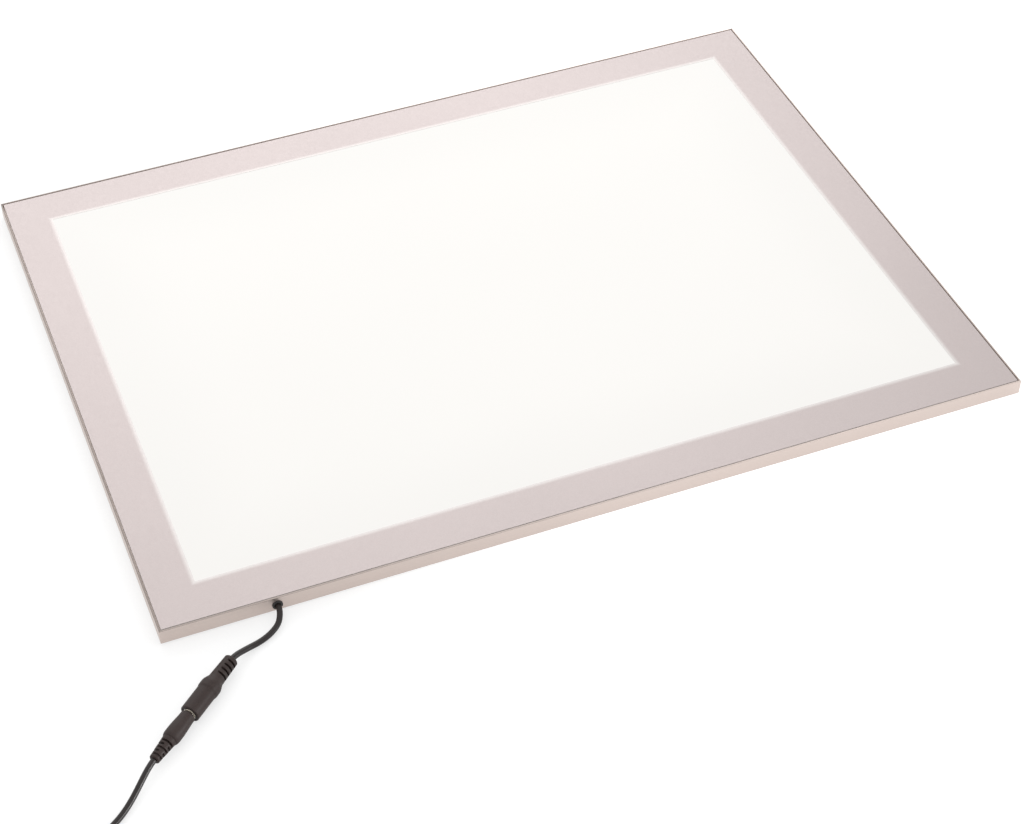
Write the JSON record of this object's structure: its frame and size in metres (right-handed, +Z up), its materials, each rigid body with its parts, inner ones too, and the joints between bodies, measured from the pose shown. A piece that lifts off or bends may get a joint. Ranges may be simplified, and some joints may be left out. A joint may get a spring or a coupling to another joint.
{
  "type": "led tracing pad",
  "caption": "Thin flat lit drawing pad with an aluminium rail frame, opal face, silver border, power lead with in-line barrel connector, and a wall adapter.",
  "frame": {"origin": "middle of the pad's footprint on the surface that its feet stand on", "axes": "+Z up out of the lit face, +X along the pad's long side, -Y towards the side that the power lead leaves"},
  "size_m": [0.5562, 0.5741, 0.026],
  "materials": {
    "anodised_rail": "fine brushed, pale champagne anodised",
    "back_metal": "satin",
    "silver_border": "satin silver print",
    "opal_face": "satin opal acrylic, lit from inside",
    "clear_acrylic": "polished clear acrylic",
    "white_film": "matte white",
    "foam": "closed-cell foam",
    "rubber": "matte",
    "cord_pvc": "satin",
    "moulded_pvc": "moulded satin",
    "black_plastic": "matte",
    "adapter_plastic": "fine spark-eroded texture",
    "nickel": "nickel plated",
    "steel": "zinc plated",
    "circuit_board": "solder mask",
    "phosphor": "matte",
    "red_wire": "satin"
  },
  "bodies": {
    "pad": {"front_rail": "anodised_rail", "right_rail": "anodised_rail", "rear_rail": "anodised_rail", "left_rail": "anodised_rail", "corner_keys": "steel", "back_plate": "back_metal", "back_screws": "steel", "feet": "rubber", "face_sheet": "opal_face", "border_print": "silver_border", "diffuser_film": "white_film", "light_guide": "clear_acrylic", "reflector_film": "white_film", "foam_pad": "foam", "guide_stop": "black_plastic", "rear_bumper": "foam", "led_board_left": "white_film", "leds_left": "phosphor", "led_board_right": "white_film", "leds_right": "phosphor", "driver_pad": "foam", "driver_board": "circuit_board", "driver_parts": "black_plastic", "led_wires": "red_wire", "lead_wires": "red_wire", "lead_collar": "steel", "lead_grommet": "rubber", "pad_lead": "cord_pvc", "socket_shell": "moulded_pvc", "socket_core": "black_plastic", "socket_sleeve": "nickel", "socket_pin": "nickel"},
    "power_lead": {"plug_grip": "moulded_pvc", "plug_barrel": "nickel", "plug_liner": "black_plastic", "plug_contact": "nickel", "adapter_lead": "cord_pvc", "lead_coil": "cord_pvc", "lead_tail": "cord_pvc", "coil_tie": "rubber", "adapter_base": "adapter_plastic", "adapter_cover": "adapter_plastic", "adapter_relief": "moulded_pvc", "mains_pins": "nickel", "pin_sleeves": "black_plastic", "adapter_board": "circuit_board", "adapter_transformer": "steel"}
  },
  "joints": [
    {"name": "plug_pull", "type": "slide", "parent": "pad", "child": "power_lead", "axis": [-0.7547, -0.6561, 0], "range_m": [0, 0.012]}
  ]
}
